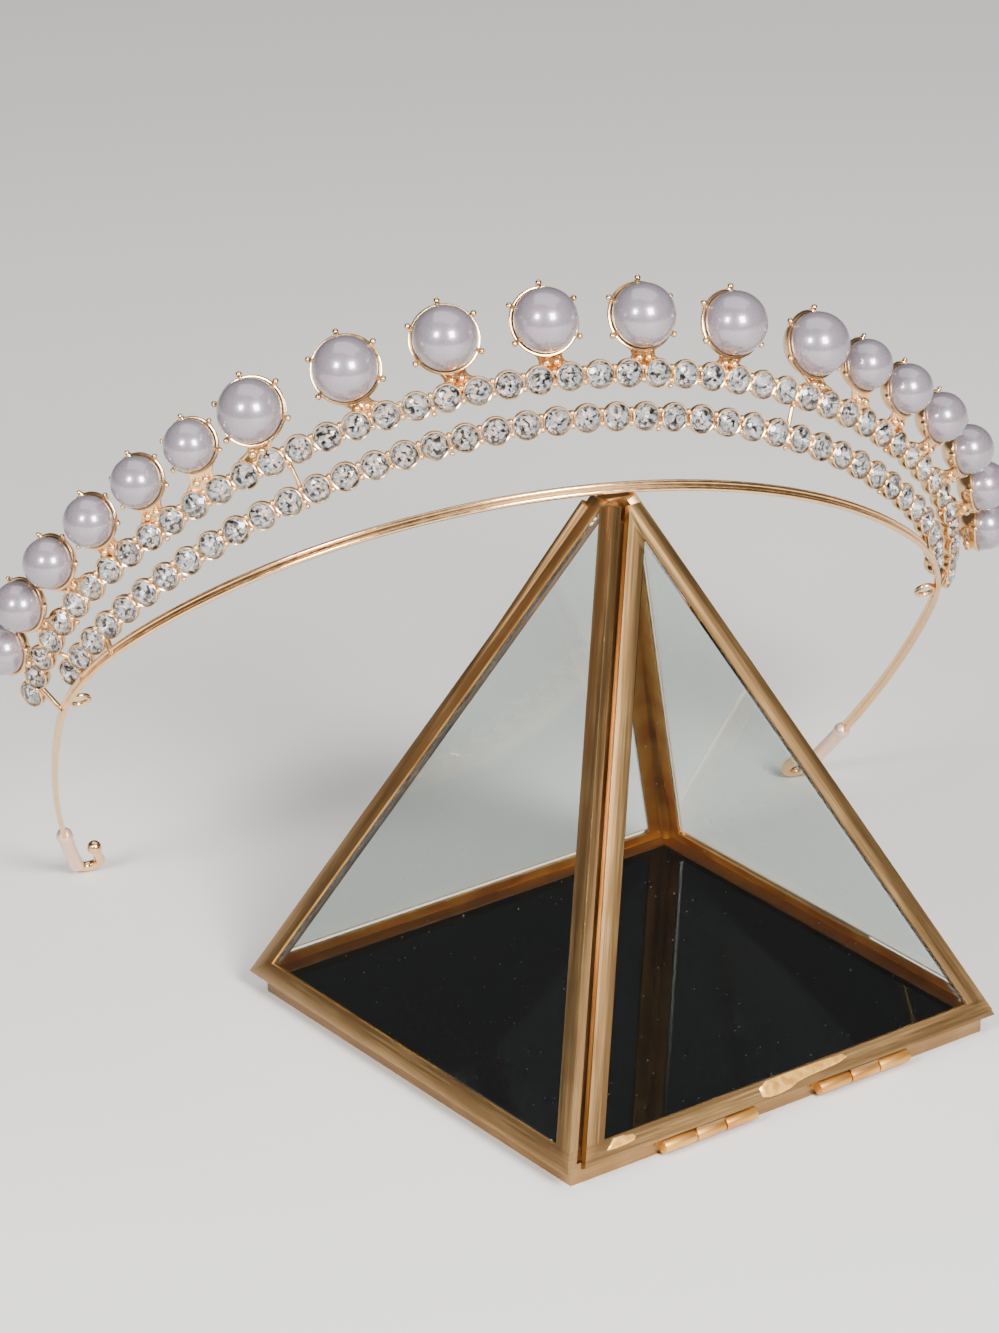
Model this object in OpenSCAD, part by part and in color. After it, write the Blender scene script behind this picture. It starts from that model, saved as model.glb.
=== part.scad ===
// Pearl tiara resting on a glass pyramid jewel box.
// X runs across the tiara, Y from its front to its back, and Z is up. The origin is the middle
// of the underside of the box, which stands on the same surface as the tips of the headband.
// The tiara is drawn upright in a frame of its own, with the headband's arch in its XZ plane
// and the rows of stones and pearls rising from it along +Y, and is then leaned forward.

/* [Headband] */
// Height of the arch, from the tips to the middle of its top
arch_h = 115.5; // [113:0.5:117]
// Radius of the round top of the arch
arch_r = 80; // [79:0.5:81]
// Angle from the top at which the arch turns down to the sides
shoulder_at = 52; // [51:0.5:53]
// Radius of the shoulders
shoulder_r = 42.5; // [41:0.5:44]
// Radius of the long inward curve of each leg
leg_r = 200; // [190:5:220]
// Radius of the two round edges of the band
edge_r = 0.42; // [0.38:0.01:0.46]
// Distance between the two round edges
edge_gap = 1.1; // [1:0.05:1.2]
// Thickness of the web between the edges
web_t = 0.5; // [0.4:0.05:0.6]

/* [Tips] */
// Angle that each leg runs through below its widest point
leg_turn = 16.5; // [16.2:0.1:16.8]
// Angle of the leg that the thicker tip covers
tip_turn = 3.6; // [3:0.1:4.5]
// Radius of the thicker tip
tip_r = 1.2; // [1.1:0.05:1.3]
// Radius of the ball where the thicker tip begins
tip_ball_r = 1.42; // [1.38:0.01:1.5]
// Radius of the fold at the tip, at the middle of the wire
fold_r = 2; // [1.8:0.1:2.4]
// Length of the end that is folded back
fold_back = 5; // [4:0.5:7]
// Radius of the ball on the folded end
fold_ball_r = 1.2; // [1.1:0.05:1.4]
// Middle radius of the small eyelet inside each leg
eyelet_r = 1.5; // [1.4:0.1:1.7]
// Radius of the eyelet's wire
eyelet_wire_r = 0.45; // [0.4:0.05:0.5]

/* [Rows of stones] */
// Stones on each side of the middle stone of the lower row
lower_side = 20; // [20:1:20]
// Angle between two stones of the lower row
lower_step = 3.2; // [3.19:0.01:3.21]
// Stones on each side of the middle of the upper row
upper_side = 24; // [24:1:24]
// Angle between two stones of the upper row
upper_step = 3.05; // [3.04:0.01:3.06]
// Outer radius of a stone's cup
cup_r = 2.42; // [2.41:0.01:2.44]
// Radius of the bore that a stone sits in
cup_bore_r = 1.9; // [1.87:0.01:1.92]
// Height of a cup
cup_h = 2; // [1.9:0.1:2.2]
// Thickness of the floor of a cup
cup_floor = 0.6; // [0.5:0.05:0.7]
// How far a cup's rim stands above the girdle of its stone
cup_rim = 0.3; // [0.2:0.05:0.4]
// How far the cups lean back from the arch's radius
cup_lean = 36; // [34:1:38]

/* [Stones] */
// Radius of a stone at its girdle
stone_r = 1.75; // [1.65:0.01:1.77]
// Height of a stone above its girdle
crown_h = 0.55; // [0.45:0.05:0.65]
// Depth of a stone below its girdle
pavilion_h = 0.9; // [0.7:0.05:0.95]
// Width of the table as a share of the girdle
table_share = 0.55; // [0.5:0.01:0.6]

/* [Pearls] */
// Radius of the seven large pearls
large_r = 5; // [4.9:0.05:5.05]
// Radius of the twelve small pearls
small_r = 4; // [3.9:0.05:4.05]
// Angle between two large pearls
large_step = 9.7; // [9.65:0.05:9.75]
// Angle between two small pearls
small_step = 6.25; // [6.2:0.05:6.3]
// Further angle between the last large pearl and the first small one
size_step = 0.35; // [0.3:0.05:0.4]
// How far the pearls lean back from the arch's radius
pearl_lean = 20; // [18:1:22]
// Thickness of the cup behind a pearl
bowl_t = 0.4; // [0.35:0.05:0.4]
// How far behind the pearl's equator the cup ends
bowl_back = 1.2; // [1:0.1:1.5]
// Places round a pearl for its prongs, the lowest of which is the foot
prong_n = 6; // [6:1:6]
// Radius of a prong's ball, as a share of the pearl's
prong_share = 0.13; // [0.12:0.01:0.14]

/* [Pose] */
// Angle that the tiara leans forward by
lean = 40; // [39:0.5:41]
// How far the middle of the tiara is to the left of the box's top
tiara_left = 8; // [6:0.5:10]
// Clearance between the band and the box's top, and below the tips
rest_gap = 0.12; // [0.1:0.01:0.2]

/* [Glass box] */
// Angle that the box is turned by, seen from above
box_turn = 20.5; // [15:0.5:25]
// Side of the square base
base_w = 80; // [78:1:82]
// Height of the base
base_h = 3.4; // [3.2:0.1:3.6]
// Width of a sloping side at its lower edge
side_w = 84; // [83.6:0.1:84.4]
// Height at which the sloping sides would meet
apex_h = 93.7; // [93:0.1:94.5]
// Width of the brass strips round the glass
bar_w = 3; // [2.6:0.1:3.4]
// Depth of the strips of the fixed sides
bar_t = 1.7; // [1.6:0.05:1.75]
// Depth of the strips of the door
door_t = 1.3; // [1.2:0.05:1.35]
// Inset of the strips of the two back sides from the sloping edge
bar_inset = 1.5; // [1.45:0.05:1.6]
// Inset of the door's strips from the sloping edge
door_inset = 1.9; // [1.9:0.05:2.1]
// How far the door is moved towards the box's right corner
door_shift = 1.2; // [1:0.05:1.2]
// Thickness of the glass
glass_t = 1.1; // [1:0.1:1.2]
// Thickness of the mirror in the base
mirror_t = 2; // [1.8:0.1:2]

/* [Hinge] */
// Outer radius of the knuckles
knuckle_r = 1.05; // [1:0.05:1.1]
// Radius of the hinge pins
pin_r = 0.45; // [0.4:0.05:0.5]
// Length of each of the two hinges
hinge_l = 17.6; // [16:0.2:20]
// Half of the distance between the middles of the hinges
hinge_x = 15; // [14:0.2:16]
// Height of the hinge axis
hinge_z = 1.75; // [1.7:0.05:1.8]

/* [Hidden] */
$fn = 48;
// Each row's distance outward from the band and its rise above the band's plane, at the
// middle of the row, halfway along it and at its end.
lower_out = [5.2, 4, 0.6];
lower_rise = [9.5, 6.8, 2.4];
upper_out = [9.6, 7.2, 4.2];
upper_rise = [14.5, 11.8, 4.1];
pearl_out = [12.5, 12.5, 10.3];
pearl_rise = [23, 18.7, 7.8];
large_side = 3;
small_side = 6;
pearl_side = large_side + small_side;
lower_end = lower_side * lower_step;
upper_end = (upper_side - 0.5) * upper_step;
pearl_end = large_side * large_step + size_step + small_side * small_step;
// Clearance between a piece and the metal round it
seat_gap = 0.15;
// Joints between two cups at which the rows are tied to each other and to the band, counted
// in steps from the middle.
tie_lower = 8.5;
tie_upper = 9;
end_tie_lower = 19.5;
end_tie_upper = 21;
band_tie_lower = 17.5;
band_tie_upper = 23;
tie_r = 0.36;
tie_end = 0.4;
tie_depth = cup_rim - cup_h + 0.95;
post_r = 0.5;
post_end = 1;
// Pearls on each side of the middle one that stand on a foot. The cup behind the last one
// meets the row itself.
foot_side = 8;
foot_r = 0.45;
heel_ball_r = 0.6;
// Angles of the heel behind the lowest place of a large and of a small pearl
large_heel = 20;
small_heel = 35;
// How far the balls of a pearl's prongs and heel start from the pearl
ball_off = 0.3;
// Middles of the curves that the arch is made of
arch_z = arch_h - arch_r;
shoulder_x = (arch_r - shoulder_r) * sin(shoulder_at);
shoulder_z = arch_z + (arch_r - shoulder_r) * cos(shoulder_at);
leg_x = shoulder_x + shoulder_r - leg_r;
fold_wire_r = 0.7 * tip_r;
// Directions inward from a tip and up its leg
tip_in = [-cos(leg_turn), 0, sin(leg_turn)];
tip_up = [sin(leg_turn), 0, cos(leg_turn)];
tip_end = [leg_x + leg_r * cos(leg_turn), 0, shoulder_z - leg_r * sin(leg_turn)];
tip_low = tip_end[2] + fold_r * tip_in[2] - fold_r;
// Place of the tiara: its tips stand on the surface and its band on the box's top
tiara_z = rest_gap + fold_wire_r - tip_low * cos(lean);
contact_drop = arch_r - sqrt(arch_r * arch_r - tiara_left * tiara_left);
tiara_y = (arch_h - contact_drop) * sin(lean) + edge_gap / 2 * cos(lean);
edge_low = edge_gap / 2 * sin(lean) + edge_r;
// Half of the box's top, measured along the band that crosses it
top_reach = 2.8;
reach_drop = arch_r - sqrt(arch_r * arch_r - pow(tiara_left + top_reach, 2));
box_h = tiara_z + (arch_h - reach_drop) * cos(lean) - edge_low - rest_gap;
// Slope of the box's sides
side_rise = apex_h - base_h;
side_slope = atan2(side_rise, side_w / 2);
side_l = norm([side_rise, side_w / 2]);
edge_lean = atan2(side_w / 2, side_l);
door_cut = 0.6;
// The door closes on a strip that runs up the front corner behind its left edge. Its two edges
// are measured from the sloping edge. Both start at one height up the slope, and the outer one
// runs further up.
stop_gap = 0.25;
stop_t = 0.9;
stop_edges = [0.9, 4.6];
stop_low = 1.2;
stop_tops = [92.6, 88];
flange_w = 1.2;
flange_h = 0.8;
pocket_w = base_w - 4.6;
hinge_gap = 0.3;
pin_gap = 0.08;
hinge_y = -base_w / 2 - knuckle_r - hinge_gap;
hinge_third = hinge_l / 6;
leaf_t = 1.1;
// Height of the door's leaf above the hinge axis, up into its lower strip
door_leaf = 1.45;
LEFT_TO_RIGHT = [for (n = [1 : 2 * pearl_side + 1]) str("pearl_", n < 10 ? "0" : "", n)];

// Value at the share s of the way along a row, from those at its middle, halfway and end
function spread(v, s) =
    let (a = (16 * (v[1] - v[0]) - (v[2] - v[0])) / 3)
    v[0] + a * pow(s, 2) + (v[2] - v[0] - a) * pow(s, 4);
// Distance of the band from the middle of its round top, at the angle ps from the top
function band_rho(ps) =
    let (
        dz = shoulder_z - arch_z,
        along = sin(abs(ps)) * shoulder_x + cos(abs(ps)) * dz,
        beyond = pow(shoulder_r, 2) - pow(shoulder_x, 2) - pow(dz, 2)
    )
    abs(ps) <= shoulder_at ? arch_r : along + sqrt(pow(along, 2) + beyond);
function polar(rho, ps, y) = [rho * sin(ps), y, arch_z + rho * cos(ps)];
function band_point(ps) = polar(band_rho(ps), ps, 0);
function row_point(ps, out, rise, end) =
    let (s = abs(ps) / end)
    polar(band_rho(ps) + spread(out, s), ps, spread(rise, s));
// A direction [across, up, out] of a row's own frame, in the frame of the tiara
function turned(v, back, ps) =
    let (
        y = v[1] * cos(back) - v[2] * sin(back),
        z = v[1] * sin(back) + v[2] * cos(back)
    )
    [v[0] * cos(ps) + z * sin(ps), y, z * cos(ps) - v[0] * sin(ps)];
// A point near the joint n steps along a row
function at_upper_joint(n, v) =
    row_point(n * upper_step, upper_out, upper_rise, upper_end)
    + turned(v, cup_lean, n * upper_step);
function at_lower_joint(n, v) =
    row_point(n * lower_step, lower_out, lower_rise, lower_end)
    + turned(v, cup_lean, n * lower_step);
// Angle and radius of pearl k, counted from the middle one
function pearl_ps(k) =
    sign(k) * (min(abs(k), large_side) * large_step
    + max(abs(k) - large_side, 0) * small_step
    + (abs(k) > large_side ? size_step : 0));
function pearl_r(k) = abs(k) <= large_side ? large_r : small_r;

module on_row(ps, out, rise, end, back) {
    translate(row_point(ps, out, rise, end)) rotate([back, ps, 0]) children();
}
module on_lower(n) {
    on_row(n * lower_step, lower_out, lower_rise, lower_end, cup_lean) children();
}
module on_upper(n) {
    on_row(n * upper_step, upper_out, upper_rise, upper_end, cup_lean) children();
}
module on_pearl(k) {
    on_row(pearl_ps(k), pearl_out, pearl_rise, pearl_end, pearl_lean) children();
}
module leaned() {
    translate([-tiara_left, tiara_y, tiara_z]) rotate([lean, 0, 0]) children();
}
module both_sides() {
    for (side = [0, 1]) mirror([side, 0, 0]) children();
}
// A round rod from p to q
module rod(p, q, r) {
    l = norm(q - p);
    along(p, q) cylinder(h = l, r = r);
}
// Turns +Z to point from p to q
module along(p, q) {
    d = q - p;
    translate(p) rotate([0, acos(d[2] / norm(d)), atan2(d[1], d[0])]) children();
}

// Headband: two round edges with a web between them
module band_arc(r, from, turn) {
    rotate([90, 0, 0]) rotate_extrude(angle = turn, start = from) translate([r, 0]) {
        translate([0, edge_gap / 2]) circle(edge_r);
        translate([0, -edge_gap / 2]) circle(edge_r);
        square([web_t, edge_gap], center = true);
    }
}
module splice(p, turn) {
    translate(p) rotate([0, -turn, 0])
        cube([0.6 * web_t, 0.6 * edge_gap, 1.2], center = true);
}
module band() {
    translate([0, 0, arch_z]) band_arc(arch_r, 90 - shoulder_at, 2 * shoulder_at);
    both_sides() {
        translate([shoulder_x, 0, shoulder_z]) band_arc(shoulder_r, 0, 90 - shoulder_at);
        translate([leg_x, 0, shoulder_z])
            band_arc(leg_r, tip_turn / 2 - leg_turn, leg_turn - tip_turn / 2);
        splice(polar(arch_r, shoulder_at, 0), 90 - shoulder_at);
        splice([shoulder_x + shoulder_r, 0, shoulder_z], 0);
    }
}
// Thick rounded end of a leg, folded back to a ball
module tip() {
    turn = leg_turn - tip_turn;
    back = tip_end + 2 * fold_r * tip_in;
    top = [leg_x + leg_r * cos(turn), 0, shoulder_z - leg_r * sin(turn)];
    rod(tip_end, top, tip_r);
    translate(top) sphere(tip_ball_r);
    translate(tip_end) sphere(1.02 * tip_r);
    translate(tip_end + fold_r * tip_in) rotate([90, 0, 0])
        rotate_extrude(angle = 180, start = 180 - leg_turn)
            translate([fold_r, 0]) circle(fold_wire_r);
    translate(back) sphere(1.02 * fold_wire_r);
    rod(back, back + fold_back * tip_up, fold_wire_r);
    translate(back + fold_back * tip_up) sphere(fold_ball_r);
}
module eyelet() {
    ps = (band_tie_upper - 1) * upper_step;
    rho = band_rho(ps) - eyelet_r - eyelet_wire_r;
    translate(polar(rho, ps, 0)) rotate([90, 0, 0])
        rotate_extrude() translate([eyelet_r, 0]) circle(eyelet_wire_r);
}
module cup() {
    translate([0, 0, cup_rim - cup_h]) difference() {
        cylinder(h = cup_h, r = cup_r);
        translate([0, 0, cup_floor]) cylinder(h = cup_h, r = cup_bore_r);
    }
}
// Cups of the left half of both rows
module left_rows() {
    for (n = [-lower_side : -1]) on_lower(n) cup();
    for (n = [0.5 - upper_side : -0.5]) on_upper(n) cup();
}
// Short rods on the left that join the rows to each other and to the band
module left_ties() {
    for (pair = [[tie_lower, tie_upper], [end_tie_lower, end_tie_upper]])
        rod(
            at_lower_joint(-pair[0], [0, tie_end, tie_depth]),
            at_upper_joint(-pair[1], [0, -tie_end, tie_depth]), tie_r
        );
    for (n = [band_tie_lower, end_tie_lower])
        rod(
            band_point(-n * lower_step),
            at_lower_joint(-n, [0, -post_end, tie_depth]), post_r
        );
    rod(
        band_point(-band_tie_upper * upper_step),
        at_upper_joint(-band_tie_upper, [0, -post_end, tie_depth]), post_r
    );
}
// Cup behind a pearl, its round-headed prongs, and its foot on the upper row
module pearl_setting(k) {
    r = pearl_r(k);
    ball_r = prong_share * r;
    on_pearl(k) {
        difference() {
            sphere(r + seat_gap + bowl_t);
            sphere(r + seat_gap);
            translate([0, 0, r - bowl_back]) cube([4 * r, 4 * r, 2 * r], center = true);
        }
        for (n = [1 : prong_n - 1]) rotate(n * 360 / prong_n - 90)
            translate([r + ball_off + ball_r, 0, 0.2 - bowl_back]) sphere(ball_r);
    }
    if (abs(k) <= foot_side) pearl_foot(k);
}
// Post from the upper row to a ball low on the back of a pearl's cup
module pearl_foot(k) {
    heel = pearl_r(k) + ball_off + heel_ball_r;
    back = abs(k) <= large_side ? large_heel : small_heel;
    heel_at = row_point(pearl_ps(k), pearl_out, pearl_rise, pearl_end)
        + turned([0, -heel * cos(back), -heel * sin(back)], pearl_lean, pearl_ps(k));
    foot_at = at_upper_joint(round(pearl_ps(k) / upper_step), [0, tie_end, tie_depth]);
    along(foot_at, heel_at) {
        cylinder(h = norm(heel_at - foot_at), r = foot_r);
        translate([0, 0, norm(heel_at - foot_at)]) sphere(heel_ball_r);
    }
}
module tiara_frame() color("#dfa878") leaned() {
    band();
    on_lower(0) cup();
    pearl_setting(0);
    both_sides() {
        tip();
        eyelet();
        left_rows();
        left_ties();
        for (k = [-pearl_side : -1]) pearl_setting(k);
    }
}
module pearl(k) color("#ece4e8") leaned() on_pearl(k) sphere(pearl_r(k));

// Cut stone: a table, eight crown facets and eight pavilion facets
module stone() {
    cylinder(h = crown_h, r1 = stone_r, r2 = table_share * stone_r, $fn = 8);
    mirror([0, 0, 1]) cylinder(h = pavilion_h, r1 = stone_r, r2 = 0.15 * stone_r, $fn = 8);
}
module upper_stones() color("#e8f0f4") leaned() {
    for (n = [0.5 - upper_side : upper_side - 0.5]) on_upper(n) stone();
}
module lower_stones() color("#e8f0f4") leaned() {
    for (n = [-lower_side : lower_side]) on_lower(n) stone();
}

// Distance across a side, from its middle to a line set in from the sloping edge, at the
// distance up the slope
function edge_x(inset, up) = side_w / 2 * (1 - up / side_l) - inset / cos(edge_lean);
// Outline of a sloping side, x across and y up the slope, set in from the sloping edges
module side_outline(inset, low, high) {
    polygon([
        [-edge_x(inset, low), low], [edge_x(inset, low), low],
        [edge_x(inset, high), high], [-edge_x(inset, high), high]
    ]);
}
// Distance up the slope at which a side set in by inset comes to a point
function side_point(inset) = side_l * (1 - 2 * inset / cos(edge_lean) / side_w);
module on_side(turn) {
    rotate(turn) translate([0, -side_w / 2, base_h]) rotate([side_slope, 0, 0]) children();
}
module side_bars(inset, t, top) {
    high = (top - base_h) / sin(side_slope);
    translate([0, 0, -t]) linear_extrude(t) difference() {
        side_outline(inset, 0, high);
        side_outline(inset + bar_w, bar_w, side_point(inset + bar_w) - 0.01);
    }
}
module side_glass(inset, t) {
    clear = inset + bar_w + seat_gap;
    translate([0, 0, -(t + glass_t) / 2]) linear_extrude(glass_t)
        side_outline(clear, bar_w + seat_gap, side_point(clear) - 0.2);
}
module door_stop() {
    on_side(0) translate([0, 0, -door_t - stop_gap - stop_t]) linear_extrude(stop_t) polygon([
        for (n = [0, 1]) [-edge_x(stop_edges[n], stop_low), stop_low],
        for (n = [1, 0]) [-edge_x(stop_edges[n], stop_tops[n]), stop_tops[n]]
    ]);
}
module turned_box() rotate(box_turn) children();
// The rod that ties two fixed sides along the sloping edge at the corner turn
module corner_rod(turn) {
    // The strips' inner corners meet this far inside the sloping edge
    deep = bar_t / sin(side_slope) + 0.2;
    foot = side_w / 2 - deep;
    high = foot * (1 - (box_h - 1.5 - base_h) / side_rise);
    rotate(turn) rod([foot, foot, base_h - 0.7], [high, high, box_h - 1.5], 0.9);
}
module hinge_places() {
    for (x = [-hinge_x, hinge_x]) translate([x, hinge_y, hinge_z]) children();
}
module knuckle(from, to) {
    translate([from, 0, 0]) rotate([0, 90, 0]) cylinder(h = to - from, r = knuckle_r);
}
// Fixed end of a hinge, from one third of its length out, with a leaf to the base
module fixed_end() {
    knuckle(hinge_third, hinge_l / 2);
    translate([hinge_third, 0, -leaf_t / 2])
        cube([hinge_l / 2 - hinge_third, knuckle_r + hinge_gap + 0.5, leaf_t]);
}
module base() {
    difference() {
        translate([0, 0, base_h / 2]) cube([base_w, base_w, base_h], center = true);
        translate([0, 0, base_h - mirror_t / 2 - 0.1 + 0.2])
            cube([pocket_w, pocket_w, mirror_t + 0.4], center = true);
    }
    // A flange under the three fixed sides
    difference() {
        translate([0, 0, base_h - flange_h / 2])
            cube([base_w + 2 * flange_w, base_w + 2 * flange_w, flange_h], center = true);
        translate([0, -base_w, base_h]) cube([2 * base_w, base_w, 8], center = true);
        translate([0, 0, base_h]) cube([pocket_w, pocket_w, 8], center = true);
    }
}
module box_frame() color("#9a7440") turned_box() {
    base();
    for (turn = [90, 180]) on_side(turn) side_bars(bar_inset, bar_t, box_h);
    on_side(270) side_bars(0, bar_t, box_h);
    door_stop();
    for (turn = [0, 90]) corner_rod(turn);
    translate([-2.1, -1, box_h - 3.5]) cube([4.2, 3.1, 3.5]);
    hinge_places() {
        both_sides() fixed_end();
        rotate([0, 90, 0]) cylinder(h = hinge_l - 2, r = pin_r, center = true);
    }
}
module base_mirror() color("#3a3a3c") turned_box() {
    translate([0, 0, base_h - 0.1 - mirror_t / 2])
        cube([pocket_w - 2 * seat_gap, pocket_w - 2 * seat_gap, mirror_t - 0.2], center = true);
}
module glass(turn, inset) color("#dfe8e6", 0.3) {
    turned_box() on_side(turn) side_glass(inset, bar_t);
}
module door_frame() color("#a67d45") turned_box() {
    half = hinge_third - hinge_gap;
    difference() {
        union() {
            on_side(0) translate([door_shift, 0, 0])
                side_bars(door_inset, door_t, box_h - door_cut);
            hinge_places() {
                knuckle(-half, half);
                translate([-half, -leaf_t / 2, 0]) cube([2 * half, leaf_t, door_leaf]);
            }
        }
        hinge_places() rotate([0, 90, 0])
            cylinder(h = hinge_l, r = pin_r + pin_gap, center = true);
    }
}
module door_glass() color("#dfe8e6", 0.3) {
    turned_box() on_side(0) translate([door_shift, 0, 0]) side_glass(door_inset, door_t);
}

tiara_frame();
upper_stones();
lower_stones();
for (k = [-pearl_side : pearl_side])
    pearl(k);
box_frame();
base_mirror();
glass(270, 0);  // glass_front_left
glass(180, bar_inset);  // glass_back_left
glass(90, bar_inset);  // glass_back_right
door_frame();
door_glass();
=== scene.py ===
import math

import bmesh
import bpy
from mathutils import Matrix, Vector


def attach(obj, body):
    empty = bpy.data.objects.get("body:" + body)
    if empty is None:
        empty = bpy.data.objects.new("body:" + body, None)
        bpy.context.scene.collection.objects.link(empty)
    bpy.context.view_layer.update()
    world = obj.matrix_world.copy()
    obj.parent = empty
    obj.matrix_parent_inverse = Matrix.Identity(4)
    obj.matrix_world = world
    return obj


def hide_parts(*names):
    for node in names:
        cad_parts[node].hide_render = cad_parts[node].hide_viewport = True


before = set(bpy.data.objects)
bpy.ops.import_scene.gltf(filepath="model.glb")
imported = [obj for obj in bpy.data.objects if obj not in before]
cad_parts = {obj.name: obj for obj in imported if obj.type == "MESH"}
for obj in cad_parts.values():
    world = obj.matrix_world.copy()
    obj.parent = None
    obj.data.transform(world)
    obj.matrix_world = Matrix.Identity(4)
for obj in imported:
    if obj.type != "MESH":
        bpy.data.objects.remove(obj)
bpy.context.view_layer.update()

bl_info = {
    "name": "Pearl tiara and glass pyramid box",
    "version": (1, 0, 0),
    "blender": (4, 5, 0),
    "location": "3D View > Sidebar > Tiara",
    "description": "Cut stones and pearls on a gold headband, and the glass box it leans over",
    "category": "Object",
}

# Every length below is in millimetres until it goes into a mesh.
MM = 0.001

# Where the tiara's own frame lies: its arch stands in XZ, leans forward and is moved into place.
LEAN = 40.0
TIARA_PLACE = Vector((-8.0, 74.4055, 0.690148))

# The headband's arch, as arcs about three middles on each side.
ARCH_H = 115.5
ARCH_R = 80.0
SHOULDER_AT = 52.0
SHOULDER_R = 42.5
LEG_R = 200.0
LEG_TURN = 16.5
TIP_TURN = 3.6
FOLD_R = 2.0
FOLD_BACK = 5.0
ARCH_Z = ARCH_H - ARCH_R
SHOULDER_X = (ARCH_R - SHOULDER_R) * math.sin(math.radians(SHOULDER_AT))
SHOULDER_Z = ARCH_Z + (ARCH_R - SHOULDER_R) * math.cos(math.radians(SHOULDER_AT))
LEG_X = SHOULDER_X + SHOULDER_R - LEG_R

# Rows: number of cups on each side, angle between two, angle of the last, and distance outward
# and rise at the middle, halfway and the end.
LOWER = {"side": 20, "step": 3.2, "end": 64.0,
         "out": (5.2, 4.0, 0.6), "rise": (9.5, 6.8, 2.4)}
UPPER = {"side": 24, "step": 3.05, "end": 71.675,
         "out": (9.6, 7.2, 4.2), "rise": (14.5, 11.8, 4.1)}
PEARLS = {"end": 66.95, "out": (12.5, 12.5, 10.3), "rise": (23.0, 18.7, 7.8)}
CUP_LEAN = 36.0
PEARL_LEAN = 20.0

# Pearls are numbered from the middle, and those past FOOT_SIDE have no foot.
LARGE_SIDE = 3
PEARL_SIDE = 9
FOOT_SIDE = 8
LARGE_PEARLS = range(-LARGE_SIDE, LARGE_SIDE + 1)
SMALL_PEARLS = [k for k in range(-PEARL_SIDE, PEARL_SIDE + 1) if k not in LARGE_PEARLS]

# Joints of the cups, counted from the middle, that have a rod to the other row, a rod to the
# headband, or a nub of solder.
ROW_TIES = ((8.5, 9), (19.5, 21))
BAND_TIES = ((LOWER, 17.5), (LOWER, 19.5), (UPPER, 23))
NUBS = ((LOWER, (3.5, 8.5, 13.5, 17.5)), (UPPER, (4, 9, 14, 19)))
EYELET_STEP = 22

# Radii of the tips' sleeves with their collars and round ends, and of the folded wire with its
# ball. Radius of an eyelet, its distance inside the headband, and the radius of its wire.
SLEEVE_R, COLLAR_R, SLEEVE_END_R = 1.2, 1.4, 1.22
FOLD_WIRE_R, TIP_BALL_R = 0.84, 1.2
EYELET_R, EYELET_INSET, EYELET_WIRE_R = 1.5, 0.45, 0.42

# Radii of the rows' nubs and beads, and the distance of a bead from the middle of its joint.
NUB_R, BEAD_R, BEAD_UP = 0.42, 0.5, 1.0
# Radii of the rods, and how far along the cups' axis from a joint they end.
ROW_TIE_R, BAND_TIE_R, POST_R = 0.36, 0.5, 0.42
TIE_BACK = -0.75
# A pearl's foot: radii of its wires and balls, and half the thickness of its plate.
PLATE_WIRE_R, FOOT_BALL_R, PLATE_HALF = 0.3, 0.64, 0.2
# Angles round a pearl, from its foot to its back, at which its plate and its post meet its cup.
PLATE_TURN, POST_TURN_LARGE, POST_TURN_SMALL = 16, 20, 35

# The glass box: its turn, the foot and angle of its sloping sides, how far they run inward for
# each unit of height, the height below which its strips lie level, and, before the turn, the
# hinges' axis with the reach of their knuckles.
BOX_TURN = 20.5
SIDE_Y, SIDE_Z, SIDE_SLOPE = -42.0, 3.4, 65.06
SIDE_RUN = 0.47
LEVEL_TOP = 6.1
HINGE_Y, HINGE_Z, HINGE_REACH = -41.35, 1.75, 1.15

TIARA_BODY = "tiara_and_box"


def sin(angle):
    return math.sin(math.radians(angle))


def cos(angle):
    return math.cos(math.radians(angle))


def rotation(angle, axis, size=3):
    return Matrix.Rotation(math.radians(angle), size, axis)


def spread(values, share):
    """Value at a share of the way along a row, from those at its middle, halfway and its end."""
    first = (16 * (values[1] - values[0]) - (values[2] - values[0])) / 3
    return values[0] + first * share ** 2 + (values[2] - values[0] - first) * share ** 4


def band_rho(turn):
    """Distance of the headband from the middle of its round top."""
    if abs(turn) <= SHOULDER_AT:
        return ARCH_R
    rise = SHOULDER_Z - ARCH_Z
    along = sin(abs(turn)) * SHOULDER_X + cos(turn) * rise
    return along + math.sqrt(along ** 2 + SHOULDER_R ** 2 - SHOULDER_X ** 2 - rise ** 2)


def polar(rho, turn, y):
    return Vector((rho * sin(turn), y, ARCH_Z + rho * cos(turn)))


def row_point(row, turn):
    share = abs(turn) / row["end"]
    return polar(band_rho(turn) + spread(row["out"], share), turn, spread(row["rise"], share))


def row_turn(turn, back):
    """Turn of a thing on a row that leans back from the arch's radius, in the tiara's frame."""
    return rotation(turn, "Y") @ rotation(back, "X")


def on_row(row, turn, back, offset):
    return row_point(row, turn) + row_turn(turn, back) @ Vector(offset)


def row_places(row, turns, back):
    return [(row_point(row, turn), row_turn(turn, back)) for turn in turns]


def joint_point(row, step, offset):
    return on_row(row, step * row["step"], CUP_LEAN, offset)


def pearl_turn(k):
    """Angle of a pearl: 9.7 degrees between large ones, 6.25 between small, 6.6 from one to the
    other."""
    small = max(abs(k) - LARGE_SIDE, 0)
    angle = min(abs(k), LARGE_SIDE) * 9.7 + small * 6.25 + (0.35 if small else 0)
    return math.copysign(angle, k) if k else 0.0


def pearl_radius(k):
    return (sizes().large_pearl if k in LARGE_PEARLS else sizes().small_pearl) / MM / 2


def pearl_places(sides):
    return row_places(PEARLS, [pearl_turn(k) for k in sides], PEARL_LEAN)


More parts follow.
